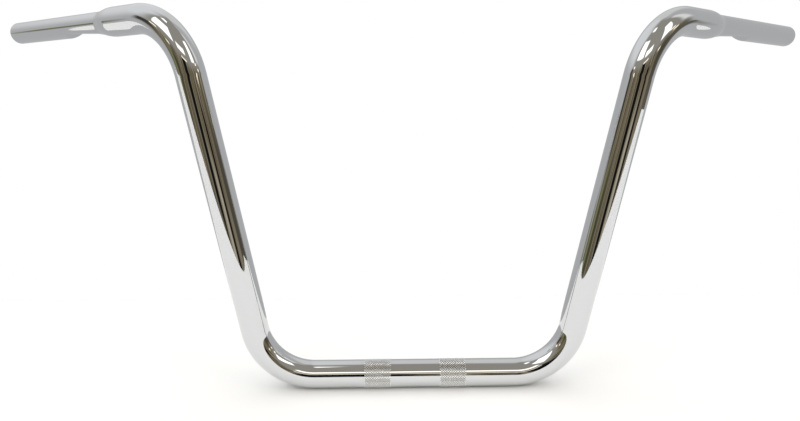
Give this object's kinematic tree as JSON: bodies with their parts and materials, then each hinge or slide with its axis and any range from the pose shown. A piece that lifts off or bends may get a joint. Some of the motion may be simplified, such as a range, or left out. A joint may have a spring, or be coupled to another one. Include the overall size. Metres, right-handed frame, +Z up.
{
  "type": "ape hanger handlebar",
  "caption": "Tall U-shaped motorcycle handlebar of one bent chromed tube, with knurled clamp bands, swept-back drawn-down grip ends and a wiring dimple under each.",
  "frame": {"origin": "middle of the base tube's axis, half way between the two knurled clamp bands", "axes": "+X along the base tube, +Y towards the rider, the way the grips sweep, +Z up along the rise"},
  "size_m": [1.0038, 0.2033, 0.4266],
  "materials": {
    "chrome_plate": "bright polished chrome plate on steel tube, with a satin sparkle on the knurled bands"
  },
  "bodies": {
    "root": {"handlebar": "chrome_plate"}
  },
  "joints": []
}
